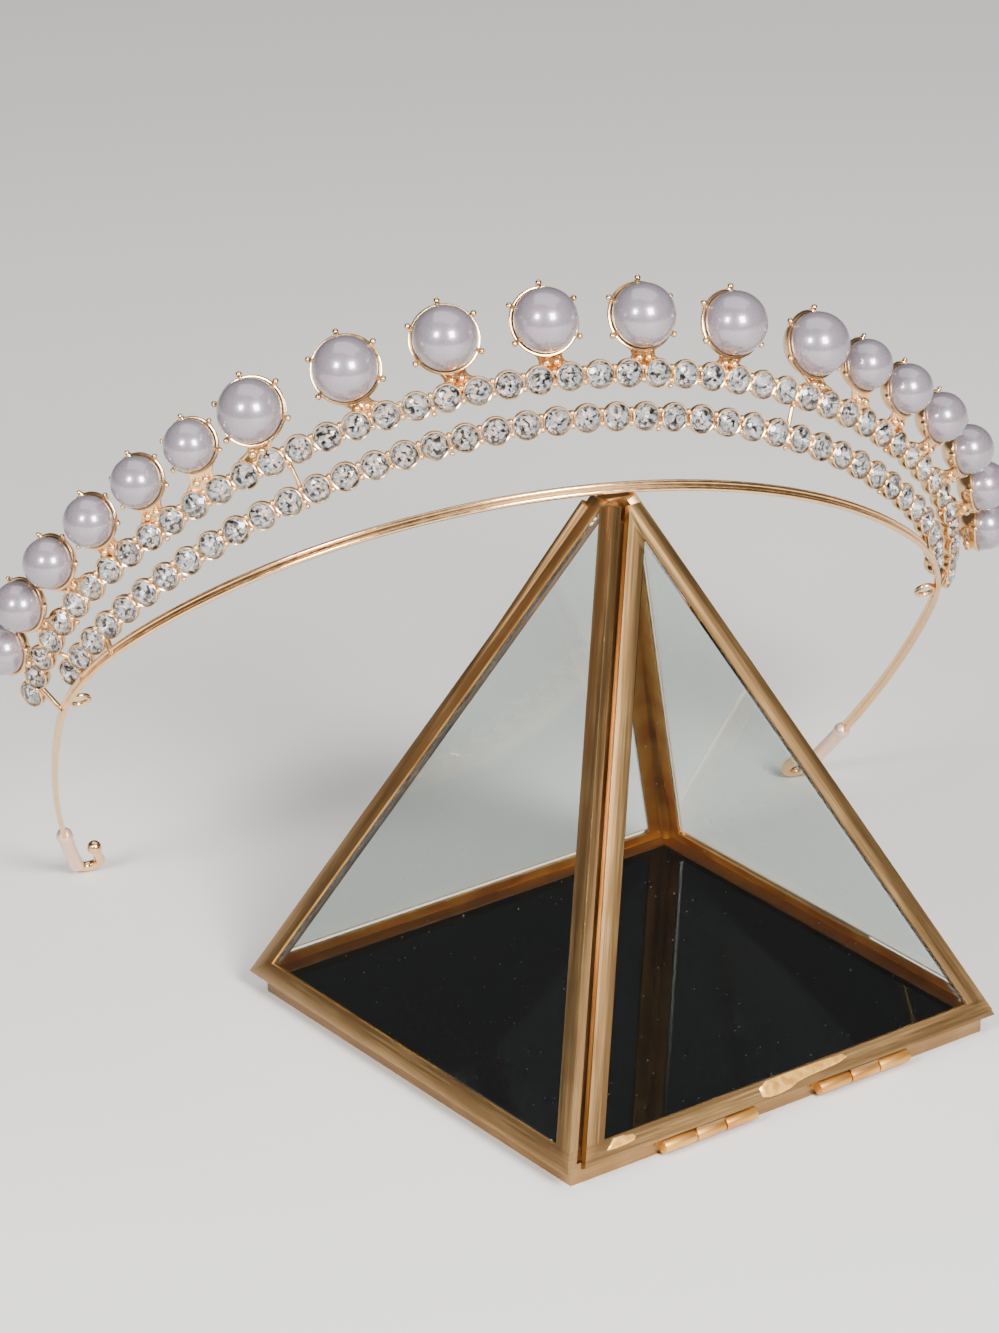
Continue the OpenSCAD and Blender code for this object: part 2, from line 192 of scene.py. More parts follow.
def placed(point):
    """A point of the tiara's frame, in metres in the shared frame."""
    return (rotation(LEAN, "X") @ Vector(point) + TIARA_PLACE) * MM


def placed_turn(turn):
    return (rotation(LEAN, "X") @ turn).to_euler("XYZ")


# ---- settings that a user would change


def length(name, about, value, low, high):
    """A length given in millimetres and kept in metres."""
    return bpy.props.FloatProperty(
        name=name, description=about, default=value * MM, min=low * MM, max=high * MM,
        subtype="DISTANCE", unit="LENGTH")


class TiaraSizes(bpy.types.PropertyGroup):
    """Sizes of the tiara's small parts"""

    large_pearl: length("Large pearls", "Diameter of the seven large pearls", 10.0, 9.6, 10.1)
    small_pearl: length("Small pearls", "Diameter of the twelve small pearls", 8.0, 7.6, 8.1)
    cup: length("Stone cups", "Outer diameter of the cup that holds a stone", 4.6, 4.2, 4.8)
    stone: length("Stones", "Diameter of a cut stone at its girdle", 3.94, 3.4, 4.0)
    edge_wire: length(
        "Headband edges", "Diameter of the two round edges of the headband", 0.84, 0.6, 0.9)
    groove: length(
        "Headband groove", "Distance between the headband's two edges", 1.1, 0.9, 1.2)
    # The rounded edges are painted lighter as a painted highlight.
    rounded_edge: length(
        "Box edges", "Width of the worn, rounded edges of the box's brass", 0.16, 0.05, 0.3)


def sizes():
    return bpy.context.scene.tiara_sizes


def linear(code):
    """Linear colour of an sRGB hex value."""
    parts = [int(code[n:n + 2], 16) / 255 for n in (0, 2, 4)]
    return [c / 12.92 if c <= 0.04045 else ((c + 0.055) / 1.055) ** 2.4 for c in parts] + [1.0]


def tint(name, about, code):
    return bpy.props.FloatVectorProperty(
        name=name, description=about, default=linear(code), size=4, min=0, max=1,
        subtype="COLOR")


class TiaraFinishes(bpy.types.PropertyGroup):
    """Colours of the tiara and of its box"""

    gold: tint("Rose gold", "Colour of the tiara's gold plate", "F9CC94")
    pearl: tint("Pearl", "Body colour of the pearls", "827981")
    stone: tint("Stones", "Colour of the cut stones", "FBFCFE")
    brass: tint("Brass", "Colour of the box's lacquered brass", "A07C50")
    # The edges' colour is a painted highlight.
    brass_edge: tint("Brass edges", "Colour of the worn edges of the box's brass", "D8AC8C")
    glass: tint("Glass", "Colour of the box's panes", "F1F6F4")
    mirror: tint("Mirror", "Colour of the dark mirror in the box's base", "2C2E30")


def finishes():
    return bpy.context.scene.tiara_finishes


# ---- materials


def add(tree, kind, sockets=None, **settings):
    """Adds a node with its settings. A socket takes a value, or a link from another socket."""
    node = tree.nodes.new(kind)
    for name, value in settings.items():
        setattr(node, name, value)
    for name, value in (sockets or {}).items():
        if isinstance(value, bpy.types.NodeSocket):
            tree.links.new(value, node.inputs[name])
        else:
            node.inputs[name].default_value = value
    return node


def shade(code, factor):
    return [c * factor for c in code[:3]] + [1.0]


def new_material(name, color):
    material = bpy.data.materials.get(name) or bpy.data.materials.new(name)
    material.use_nodes = True
    material.node_tree.nodes.clear()
    material.diffuse_color = color
    return material, material.node_tree


def noise(tree, per_mm, detail=2.0, rough=0.5, stretch=(1, 1, 1), place=None):
    """Noise with about per_mm patches to a millimetre, on object coordinates or others."""
    if place is None:
        place = add(tree, "ShaderNodeTexCoord").outputs["Object"]
    mapped = add(tree, "ShaderNodeMapping", {"Vector": place, "Scale": stretch})
    return add(tree, "ShaderNodeTexNoise", {
        "Vector": mapped.outputs["Vector"], "Scale": per_mm / MM, "Detail": detail,
        "Roughness": rough}).outputs["Fac"]


def compute(tree, kind, one, two=0.0):
    return add(tree, "ShaderNodeMath", {0: one, 1: two}, operation=kind).outputs["Value"]


def dented(tree, height, strength, deep=0.03):
    """Normals of a surface with dents, their depth in millimetres."""
    return add(tree, "ShaderNodeBump", {
        "Height": height, "Strength": strength, "Distance": deep * MM}).outputs["Normal"]


def ramp(tree, value, stops):
    """Colour ramp from (position, colour) pairs."""
    node = add(tree, "ShaderNodeValToRGB", {"Fac": value})
    while len(node.color_ramp.elements) < len(stops):
        node.color_ramp.elements.new(0.5)
    for element, (position, color) in zip(node.color_ramp.elements, stops):
        element.position = position
        element.color = color
    return node.outputs["Color"]


def roughness_from(tree, value, low, high, start=0.3, end=0.7):
    """Roughness from low to high, as a value goes from start to end."""
    return add(tree, "ShaderNodeMapRange", {
        "Value": value, "From Min": start, "From Max": end,
        "To Min": low, "To Max": high}).outputs["Result"]


def surface(material, sockets):
    tree = material.node_tree
    shader = add(tree, "ShaderNodeBsdfPrincipled", sockets)
    add(tree, "ShaderNodeOutputMaterial", {"Surface": shader.outputs["BSDF"]})
    return material


def rose_gold_plate():
    """Rose gold electroplated on cast and drawn brass, tumbled to a soft polish."""
    color = finishes().gold
    material, tree = new_material("rose_gold_plate", color)
    # The plate is a little thinner and redder in patches about 1.5 mm across.
    patches = noise(tree, 0.65, 2.0)
    # Tumbling leaves fine dents about 0.2 mm across, drawn at 0.25 mm so that they show.
    dents = noise(tree, 4.0, 2.0)
    return surface(material, {
        "Base Color": ramp(tree, patches, [(0.3, shade(color, 0.84)), (0.7, color)]),
        "Metallic": 1.0,
        "Roughness": roughness_from(tree, patches, 0.15, 0.24),
        "Normal": dented(tree, dents, 0.18)})


def satin_gold():
    """The same plate on the tips' sleeves, which handling has rubbed to a pale satin."""
    color = linear("F4D3BC")
    material, tree = new_material("satin_rose_gold", color)
    # Fine scratches about 0.3 mm apart.
    rubbed = noise(tree, 3.0, 2.0)
    return surface(material, {
        "Base Color": ramp(tree, rubbed, [(0.35, shade(color, 0.92)), (0.65, color)]),
        "Metallic": 0.8,
        "Roughness": roughness_from(tree, rubbed, 0.38, 0.5)})


def nacre():
    """Glossy pearl: many thin coats of nacre, which give a soft body glow and a sharp sheen."""
    color = finishes().pearl
    material, tree = new_material("pearl_nacre", color)
    # Clouds of pink and grey overtone, about 4 mm across.
    clouds = noise(tree, 0.25, 1.0)
    # Coats of nacre leave ripples about 0.5 mm across.
    ripples = noise(tree, 2.0, 2.0)
    pink = [color[0] * 1.03, color[1] * 0.95, color[2] * 0.97, 1.0]
    return surface(material, {
        "Base Color": ramp(tree, clouds, [
            (0.35, shade(color, 0.93)), (0.5, color), (0.68, pink)]),
        "Metallic": 0.2,
        "Roughness": roughness_from(tree, ripples, 0.26, 0.32),
        "Specular IOR Level": 1.0,
        "Coat Weight": 1.0,
        "Coat Roughness": 0.05,
        "Coat IOR": 1.7,
        "Normal": dented(tree, ripples, 0.05)})


def cut_crystal():
    """Machine-cut lead-free crystal: clear, sharp facets."""
    color = finishes().stone
    material, tree = new_material("cut_crystal", color)
    # Polishing leaves a trace of haze in patches about 1 mm across.
    haze = noise(tree, 1.0, 1.0)
    return surface(material, {
        "Base Color": ramp(tree, haze, [(0.3, shade(color, 0.98)), (0.7, color)]),
        "Roughness": roughness_from(tree, haze, 0.0, 0.02),
        "IOR": 1.55,
        "Transmission Weight": 1.0})


def foil_painted_reflections():
    """Silver mirror coat on the back facets of a stone, as on foil-backed chatons, painted with
    patches of reflected light and dark.
    """
    material, tree = new_material("foil_painted_reflections", linear("E6E8EC"))
    # Painted reflections: dark and white patches about 0.6 mm across stand in for the light and
    # dark that the facets send back.
    painted_reflections = noise(tree, 1.7, 1.0)
    return surface(material, {
        "Base Color": ramp(tree, painted_reflections, [
            (0.38, linear("343334")), (0.44, linear("B9B8B9")), (0.5, linear("FFFFFF"))]),
        "Metallic": 0.75,
        "Roughness": roughness_from(tree, painted_reflections, 0.12, 0.24)})


def strip_grain(tree):
    """Coordinates that follow each strip of the pyramid: across it, along it and through it."""
    place = add(tree, "ShaderNodeTexCoord").outputs["Object"]
    squared = add(tree, "ShaderNodeVectorRotate", {
        "Vector": place, "Angle": math.radians(-BOX_TURN)}, rotation_type="Z_AXIS")
    axes = add(tree, "ShaderNodeSeparateXYZ", {"Vector": squared.outputs["Vector"]}).outputs
    x, y = (compute(tree, "ABSOLUTE", axes[name]) for name in ("X", "Y"))
    wide, narrow = compute(tree, "MAXIMUM", x, y), compute(tree, "MINIMUM", x, y)
    from_edge = compute(tree, "SUBTRACT", wide, narrow)
    level = compute(tree, "LESS_THAN", axes["Z"], LEVEL_TOP * MM)
    across = add(tree, "ShaderNodeMix", {"Factor": level, "A": from_edge, "B": axes["Z"]})
    along = add(tree, "ShaderNodeMix", {"Factor": level, "A": axes["Z"], "B": narrow})
    run = compute(tree, "MULTIPLY", axes["Z"], SIDE_RUN)
    return add(tree, "ShaderNodeCombineXYZ", {
        "X": across.outputs["Result"], "Y": along.outputs["Result"],
        "Z": compute(tree, "ADD", wide, run)}).outputs["Vector"]


def lacquered_brass():
    """Brass strip, brushed lengthwise and dyed brown under a clear lacquer."""
    color = finishes().brass
    material, tree = new_material("lacquered_brass", color)
    # The lacquer is thicker in clouds about 10 mm long.
    cloud = noise(tree, 0.1, 2.0)
    # Brush marks are 0.1 mm apart and are drawn 0.3 mm apart so that they show.
    brush = noise(tree, 2.4, 2.0, 0.5, (1.0, 0.03, 1.0), strip_grain(tree))
    both = compute(tree, "MULTIPLY", compute(tree, "ADD", cloud, brush), 0.5)
    return surface(material, {
        "Base Color": ramp(tree, both, [
            (0.36, shade(color, 0.9)), (0.5, color), (0.64, linear("B3905F"))]),
        "Metallic": 1.0,
        "Roughness": roughness_from(tree, brush, 0.3, 0.4),
        "Coat Weight": 0.25,
        "Coat Roughness": 0.25,
        "Normal": dented(tree, brush, 0.12)})


def brass_painted_highlight():
    """Rounded edges of the brass, painted lighter as a painted highlight."""
    color = finishes().brass_edge
    material, tree = new_material("brass_painted_highlight_edge", color)
    # The painted highlight is varied in patches about 2.5 mm across.
    wear = noise(tree, 0.4, 3.0, 0.6)
    return surface(material, {
        "Base Color": ramp(tree, wear, [(0.36, linear("BB8C62")), (0.55, color)]),
        "Metallic": 1.0,
        "Roughness": roughness_from(tree, wear, 0.22, 0.34)})


def brass_painted_light():
    """Inner faces of the strips, painted bright orange as painted light reflected from the
    neighbouring strips, and the hinges, painted lighter as a painted highlight."""
    color = linear("E9B25E")
    material, tree = new_material("brass_painted_light", color)
    # Soldering heat leaves clouds about 8 mm across.
    heat = noise(tree, 0.12, 1.0)
    return surface(material, {
        "Base Color": ramp(tree, heat, [(0.35, linear("CF9048")), (0.6, color)]),
        "Metallic": 0.92,
        "Roughness": roughness_from(tree, heat, 0.36, 0.44)})


def solder():
    """Brass-coloured solder that ran along the door's lower strip and set in ripples."""
    color = linear("FAC067")
    material, tree = new_material("brass_solder", color)
    # The ripples are about 1 mm across.
    ripples = noise(tree, 1.0, 1.0)
    return surface(material, {
        "Base Color": ramp(tree, ripples, [(0.35, linear("E5A650")), (0.6, color)]),
        "Metallic": 0.7,
        "Roughness": roughness_from(tree, ripples, 0.3, 0.4),
        "Normal": dented(tree, ripples, 0.3, 0.06)})


def window_glass():
    """Thin float glass, polished flat."""
    color = finishes().glass
    material, tree = new_material("window_glass", color)
    # A few specks of dust, about 0.3 mm across.
    dust = noise(tree, 1.6, 1.0)
    return surface(material, {
        "Base Color": color,
        "Roughness": roughness_from(tree, dust, 0.0, 0.3, 0.77, 0.8),
        "IOR": 1.5,
        "Transmission Weight": 1.0})


def dark_mirror():
    """Dark grey mirror glass."""
    color = finishes().mirror
    material, tree = new_material("dark_mirror", color)
    # Faint smears about 15 mm across, longer from front to back.
    smears = noise(tree, 0.06, 3.0, 0.6, (1.0, 0.4, 1.0))
    return surface(material, {
        "Base Color": ramp(tree, smears, [(0.3, shade(color, 0.9)), (0.7, color)]),
        "Metallic": 1.0,
        "Roughness": roughness_from(tree, smears, 0.01, 0.05)})


# ---- meshes


def new_object(name, mesh):
    piece = bpy.data.objects.new(name, mesh)
    bpy.context.scene.collection.objects.link(piece)
    return piece


def mesh_from(name, verts, faces, edges=()):
    mesh = bpy.data.meshes.new(name)
    mesh.from_pydata([tuple(v) for v in verts], list(edges), faces)
    mesh.update()
    return mesh


def smooth(mesh, angle=35.0):
    """Smooth shading with sharp edges past an angle."""
    mesh.polygons.foreach_set("use_smooth", [True] * len(mesh.polygons))
    mesh.set_sharp_from_angle(angle=math.radians(angle))


def outward(mesh):
    """Merges doubles and turns all faces outward."""
    bm = bmesh.new()
    bm.from_mesh(mesh)
    bmesh.ops.remove_doubles(bm, verts=bm.verts, dist=0.000001)
    bmesh.ops.recalc_face_normals(bm, faces=bm.faces)
    bm.to_mesh(mesh)
    bm.free()


def lathe(outline, sides):
    """Vertices and faces of a closed outline (radius, height) turned round Z. A radius of 0 is
    a pole."""
    verts, rings, faces = [], [], []
    for radius, height in outline:
        if radius == 0:
            rings.append([len(verts)])
            verts.append((0, 0, height))
        else:
            rings.append(list(range(len(verts), len(verts) + sides)))
            verts += [(radius * cos(360 * n / sides), radius * sin(360 * n / sides), height)
                      for n in range(sides)]
    for low, high in zip(rings, rings[1:]):
        for n in range(sides):
            corners = [low[n % len(low)], low[(n + 1) % len(low)],
                       high[(n + 1) % len(high)], high[n % len(high)]]
            face = list(dict.fromkeys(corners))
            if len(face) > 2:
                faces.append(face)
    return verts, faces


def ball(radius, rings, sides, middle=(0, 0, 0)):
    angles = [180 * n / rings for n in range(1, rings)]
    outline = [(0, -radius)] + [(radius * sin(a), -radius * cos(a)) for a in angles]
    verts, faces = lathe(outline + [(0, radius)], sides)
    return [Vector(v) + Vector(middle) for v in verts], faces


def peg(start, end, start_r, end_r, sides):
    """A tapered peg between two points."""
    start, end = Vector(start), Vector(end)
    turn = (end - start).to_track_quat("Z", "Y")
    outline = [(0, 0), (start_r, 0), (end_r, (end - start).length), (0, (end - start).length)]
    verts, faces = lathe(outline, sides)
    return [start + turn @ Vector(v) for v in verts], faces


def joined(parts):
    verts, faces = [], []
    for part_verts, part_faces in parts:
        faces += [[n + len(verts) for n in face] for face in part_faces]
        verts += list(part_verts)
    return verts, faces


def arc_points(middle, radius, start, end, count):
    """Points of an arc in XZ, with angles from +Z towards +X."""
    return [Vector((middle[0] + radius * sin(start + (end - start) * n / count), 0,
                    middle[1] + radius * cos(start + (end - start) * n / count)))
            for n in range(count + 1)]


def half_arch():
    """The right half of the headband's middle line, from the top to halfway into the sleeve."""
    last = 90 + LEG_TURN - TIP_TURN / 2
    line = arc_points((0, ARCH_Z), ARCH_R, 0, SHOULDER_AT, 60)
    line += arc_points((SHOULDER_X, SHOULDER_Z), SHOULDER_R, SHOULDER_AT, 90, 28)[1:]
    return line + arc_points((LEG_X, SHOULDER_Z), LEG_R, 90, last, 30)[1:]


def mirrored(points):
    return [Vector((-p[0], p[1], p[2])) for p in points]


# ---- geometry node trees


def new_tree(name, *inputs):
    tree = bpy.data.node_groups.new(name, "GeometryNodeTree")
    for label, kind in (("Geometry", "Geometry"),) + inputs + (
            ("Finish", "Material"), ("Back finish", "Material")):
        tree.interface.new_socket(label, in_out="INPUT", socket_type="NodeSocket" + kind)
    tree.interface.new_socket("Geometry", in_out="OUTPUT", socket_type="NodeSocketGeometry")
    return tree, add(tree, "NodeGroupInput").outputs


def kept_value(tree, name, kind):
    """A value that the points, lines or faces of a mesh carry."""
    return add(tree, "GeometryNodeInputNamedAttribute", {
        "Name": name}, data_type=kind).outputs["Attribute"]


def close_tree(tree, geometry, inputs):
    """Makes instances real and sets the finish, and that of faces marked as backs."""
    real = add(tree, "GeometryNodeRealizeInstances", {"Geometry": geometry})
    front = add(tree, "GeometryNodeSetMaterial", {
        "Geometry": real.outputs["Geometry"], "Material": inputs["Finish"]})
    back = add(tree, "GeometryNodeSetMaterial", {
        "Geometry": front.outputs["Geometry"], "Selection": kept_value(tree, "back", "BOOLEAN"),
        "Material": inputs["Back finish"]})
    add(tree, "NodeGroupOutput", {"Geometry": back.outputs["Geometry"]})
    return tree


def row_tree():
    """One shape on every point, turned and sized by the point's own values."""
    tree, inputs = new_tree("shape_on_points", ("Shape", "Object"), ("Size", "Float"))
    shape = add(tree, "GeometryNodeObjectInfo", {"Object": inputs["Shape"], "As Instance": True})
    points = add(tree, "GeometryNodeMeshToPoints", {"Mesh": inputs["Geometry"]})
    turns = add(tree, "FunctionNodeEulerToRotation", {
        "Euler": kept_value(tree, "turn", "FLOAT_VECTOR")})
    placed_shapes = add(tree, "GeometryNodeInstanceOnPoints", {
        "Points": points.outputs["Points"], "Instance": shape.outputs["Geometry"],
        "Rotation": turns.outputs["Rotation"], "Scale": inputs["Size"]})
    return close_tree(tree, placed_shapes.outputs["Instances"], inputs)


def wire_tree():
    """Round wire along each line of edges, as thick as the line's own values say."""
    tree, inputs = new_tree("wire_on_lines", ("Thickness", "Float"), ("Sides", "Int"))
    line = add(tree, "GeometryNodeMeshToCurve", {"Mesh": inputs["Geometry"]})
    radius = compute(tree, "MULTIPLY", kept_value(tree, "thick", "FLOAT"), inputs["Thickness"])
    circle = add(tree, "GeometryNodeCurvePrimitiveCircle", {
        "Resolution": inputs["Sides"], "Radius": 1.0})
    wire = add(tree, "GeometryNodeCurveToMesh", {
        "Curve": line.outputs["Curve"], "Profile Curve": circle.outputs["Curve"],
        "Scale": radius, "Fill Caps": True})
    return close_tree(tree, wire.outputs["Mesh"], inputs)


def grow(name, mesh, tree, values):
    """Runs a tree on a mesh of points or lines, and keeps the result as one plain mesh."""
    piece = new_object(name, mesh)
    modifier = piece.modifiers.new("rule", "NODES")
    modifier.node_group = tree
    for item in tree.interface.items_tree:
        if item.item_type == "SOCKET" and item.in_out == "INPUT" and item.name in values:
            modifier[item.identifier] = values[item.name]
    depsgraph = bpy.context.evaluated_depsgraph_get()
    grown = bpy.data.meshes.new_from_object(piece.evaluated_get(depsgraph))
    piece.modifiers.clear()
    piece.data = grown
    grown.name = name
    for label in ("turn", "thick", "back"):
        if label in grown.attributes:
            grown.attributes.remove(grown.attributes[label])
    if not grown.polygons:
        raise RuntimeError(f"{name} came out empty")
    return piece


def set_on_points(name, places, shape, finish, back=None, sharp=35.0):
    """One piece with a shape at each (point, turn) of the tiara's frame."""
    points = mesh_from(name + "_points", [placed(p) for p, _ in places], [])
    turns = points.attributes.new("turn", "FLOAT_VECTOR", "POINT")
    for entry, (_, turn) in zip(turns.data, places):
        entry.vector = placed_turn(turn)
    holder = new_object(name + "_shape", shape)
    piece = grow(name, points, row_tree(), {
        "Shape": holder, "Size": MM, "Finish": finish, "Back finish": back or finish})
    bpy.data.objects.remove(holder)
    smooth(piece.data, sharp)
    return piece


def wires(name, lines, finish, sides):
    """One piece of round wire along (points, radius) lines of the tiara's frame."""
    verts, edges, thick = [], [], []
    for points, radius in lines:
        edges += [(len(verts) + n, len(verts) + n + 1) for n in range(len(points) - 1)]
        verts += [placed(p) for p in points]
        thick += [radius] * len(points)
    mesh = mesh_from(name + "_lines", verts, [], edges)
    values = mesh.attributes.new("thick", "FLOAT", "POINT")
    values.data.foreach_set("value", thick)
    piece = grow(name, mesh, wire_tree(), {
        "Thickness": MM, "Sides": sides, "Finish": finish, "Back finish": finish})
    outward(piece.data)
    smooth(piece.data, 50.0)
    return piece


def closed_piece(name, verts, faces, finish, sharp=50.0):
    """One piece from the vertices, in metres, and faces of closed surfaces."""
    mesh = mesh_from(name, verts, faces)
    outward(mesh)
    smooth(mesh, sharp)
    mesh.materials.append(finish)
    return new_object(name, mesh)


def keep(piece, body, slot, *nodes):
    """Puts a finished piece on its body, in the place of CAD nodes."""
    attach(piece, body)
    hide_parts(*nodes)


def keep_gold(piece):
    keep(piece, TIARA_BODY, "gold_plate", "tiara_frame")


def keep_balls(name, radius, points, finish, rings, sides):
    """Keeps one gold piece of equal balls."""
    shape = mesh_from(name, *ball(radius, rings, sides))
    places = [(point, Matrix.Identity(3)) for point in points]
    keep_gold(set_on_points(name, places, shape, finish))


def cup_turns(row, joints=False):
    """Turns of the cups of a row, or of the joints between them."""
    if row is LOWER:
        steps = list(range(-row["side"], row["side"] + 1))
    else:
        steps = [n + 0.5 for n in range(-row["side"], row["side"])]
    if joints:
        steps = [n + 0.5 for n in steps[:-1]]
    return [n * row["step"] for n in steps]


class TIARA_OT_headband(bpy.types.Operator):
    """Grooved headband: two round edges with a thin web between them"""

    bl_idname = "tiara.headband"
    bl_label = "Headband"

    def execute(self, context):
        edge = sizes().edge_wire / MM / 2
        half_gap = sizes().groove / MM / 2
        right = half_arch()
        line = list(reversed(mirrored(right)))[:-1] + right
        edges = [([p + Vector((0, y, 0)) for p in line], edge) for y in (-half_gap, half_gap)]
        gold = rose_gold_plate()
        keep_gold(wires("headband_edges", edges, gold, 12))

        # The web between the edges is pressed a little hollow on both sides, so it is thinner
        # in the middle.
        half_web, half_middle = 0.22, 0.13
        section = [(-half_web, -half_gap), (-half_middle, 0), (-half_web, half_gap),
                   (half_web, half_gap), (half_middle, 0), (half_web, -half_gap)]
        verts, faces = [], []
        for n, point in enumerate(line):
            before, after = line[max(n - 1, 0)], line[min(n + 1, len(line) - 1)]
            along = (after - before).normalized()
            across = Vector((-along[2], 0, along[0]))
            verts += [placed(point + across * u + Vector((0, v, 0))) for u, v in section]
        count = len(section)
        for n in range(len(line) - 1):
            for m in range(count):
                a, b = n * count + m, n * count + (m + 1) % count
                faces.append((a, b, b + count, a + count))
        faces.append(list(range(count)))
        faces.append([n + len(verts) - count for n in range(count)])
        keep_gold(closed_piece("headband_web", verts, faces, gold, 40.0))
        return {"FINISHED"}


class TIARA_OT_tips(bpy.types.Operator):
    """Folded ends of the legs, with a ball on each end, and the eyelets"""

    bl_idname = "tiara.tips"
    bl_label = "Tips and eyelets"

    def execute(self, context):
        gold, satin = rose_gold_plate(), satin_gold()
        inward = Vector((-cos(LEG_TURN), 0, sin(LEG_TURN)))
        up = Vector((sin(LEG_TURN), 0, cos(LEG_TURN)))
        last = 90 + LEG_TURN
        sleeve = arc_points((LEG_X, SHOULDER_Z), LEG_R, last - TIP_TURN, last, 10)
        middle = sleeve[-1] + FOLD_R * inward
        fold = [middle + FOLD_R * (-inward * cos(180 * n / 14) - up * sin(180 * n / 14))
                for n in range(15)]
        fold += [fold[-1] + up * FOLD_BACK * n / 4 for n in range(1, 5)]
        turn = EYELET_STEP * UPPER["step"]
        middle = polar(band_rho(turn) - EYELET_R - EYELET_INSET, turn, 0)
        ring = [middle + Vector((EYELET_R * cos(360 * n / 28), 0, EYELET_R * sin(360 * n / 28)))
                for n in range(29)]
        lines, sleeves, collars, ends, balls = [], [], [], [], []
        for side in (list, mirrored):
            lines += [(side(fold), FOLD_WIRE_R), (side(ring), EYELET_WIRE_R)]
            sleeves.append((side(sleeve), SLEEVE_R))
            collars += side(sleeve[:1])
            ends += side(sleeve[-1:])
            balls += side(fold[-1:])
        keep_gold(wires("folded_tips", lines, gold, 16))
        keep_gold(wires("tip_sleeves", sleeves, satin, 20))
        keep_balls("tip_collars", COLLAR_R, collars, satin, 16, 24)
        keep_balls("sleeve_ends", SLEEVE_END_R, ends, satin, 16, 24)
        keep_balls("tip_balls", TIP_BALL_R, balls, gold, 16, 24)
        return {"FINISHED"}


def cup_shape():
    """A round cup with a thin rolled rim and a tapered bottom."""
    radius = sizes().cup / MM / 2
    bore = sizes().stone / MM / 2 + 0.05
    outline = [(0, -1.7), (radius - 0.75, -1.7), (radius - 0.42, -1.5), (radius - 0.06, -0.75),
               (radius, -0.35), (radius, 0.12), (radius - 0.06, 0.26), ((radius + bore) / 2, 0.3),
               (bore + 0.02, 0.24), (bore, 0.1), (bore, -0.12), (0.3, -1.25), (0, -1.25)]
    return mesh_from("cup", *lathe(outline, 20))


class TIARA_OT_cups(bpy.types.Operator):
    """Two rows of round cups, soldered edge to edge, with a bead at each joint"""

    bl_idname = "tiara.cups"
    bl_label = "Rows of cups"

    def execute(self, context):
        gold = rose_gold_plate()
        for name, row in (("lower_cups", LOWER), ("upper_cups", UPPER)):
            places = row_places(row, cup_turns(row), CUP_LEAN)
            keep_gold(set_on_points(name, places, cup_shape(), gold, sharp=50.0))
        beads = [(on_row(row, turn, CUP_LEAN, (0, up, 0.05)), row_turn(turn, CUP_LEAN))
                 for row in (LOWER, UPPER) for turn in cup_turns(row, joints=True)
                 for up in (BEAD_UP, -BEAD_UP)]
        shape = mesh_from("bead", *joined([
            ball(BEAD_R, 8, 10), peg((0, 0, 0), (0, 0, -1.2), 0.42, 0.34, 8)]))
        keep_gold(set_on_points("joint_beads", beads, shape, gold, sharp=50.0))
        return {"FINISHED"}


def cut_stone():
    """A round brilliant: eight-sided table, stars, kites and halves over a pavilion of mains and
    halves. The pavilion's faces are marked as backs."""
    radius = sizes().stone / MM / 2
    # Shares of the radius: how far out the table, the stars and the mains end, half the girdle's
    # height, the crown's height and the depth.
    table, star, low = 0.56, 0.79, 0.32
    girdle, crown, depth = 0.02, 0.3, 0.62
    top = girdle + crown

    def crown_z(reach):
        return top - (reach - table) * crown / (1 - table)

    def back_z(reach):
        return -girdle - (1 - reach) * (depth - girdle)

    verts = []
    for count, reach, offset, height in (
            (8, table, 0, top), (8, star, 22.5, crown_z(star * cos(22.5))),
            (16, 1.0, 0, girdle), (16, 1.0, 0, -girdle),
            (8, low, 22.5, back_z(low * cos(22.5)))):
        verts += [(radius * reach * cos(360 * n / count + offset),
                   radius * reach * sin(360 * n / count + offset), radius * height)
                  for n in range(count)]
    verts.append((0, 0, -radius * depth))
    t, s, g, b, p, culet = 0, 8, 16, 32, 48, 56
    faces, backs = [list(range(8))], [False]
    for n in range(8):
        m, last = (n + 1) % 8, (n - 1) % 8
        fore = [(t + n, s + n, t + m), (t + n, s + last, g + 2 * n, s + n),
                (s + n, g + 2 * n, g + 2 * n + 1), (s + n, g + 2 * n + 1, g + (2 * n + 2) % 16)]
        rear = [(culet, p + n, b + 2 * n, p + last),
                (p + n, b + 2 * n + 1, b + 2 * n), (p + n, b + (2 * n + 2) % 16, b + 2 * n + 1)]
        faces += fore + rear
        backs += [False] * 4 + [True] * 3
    faces += [(b + n, b + (n + 1) % 16, g + (n + 1) % 16, g + n) for n in range(16)]
    backs += [False] * 16
    mesh = mesh_from("cut_stone", verts, faces)
    mark = mesh.attributes.new("back", "BOOLEAN", "FACE")
    mark.data.foreach_set("value", backs)
    outward(mesh)
    return mesh


class TIARA_OT_stones(bpy.types.Operator):
    """Foil-backed cut stones, one in each cup"""

    bl_idname = "tiara.stones"
    bl_label = "Stones"

    def execute(self, context):
        # The stones' backs take the foil, painted with patches of reflected light and dark.
        crystal, foil = cut_crystal(), foil_painted_reflections()
        for name, row, node in (("lower_cut_stones", LOWER, "lower_stones"),
                                ("upper_cut_stones", UPPER, "upper_stones")):
            # Each stone is turned in its cup by its own angle.
            places = [(point, turn @ rotation(n * 17.0, "Z")) for n, (point, turn)
                      in enumerate(row_places(row, cup_turns(row), CUP_LEAN))]
            piece = set_on_points(name, places, cut_stone(), crystal, foil, sharp=1.0)
            keep(piece, TIARA_BODY, "crystal", node)
        return {"FINISHED"}


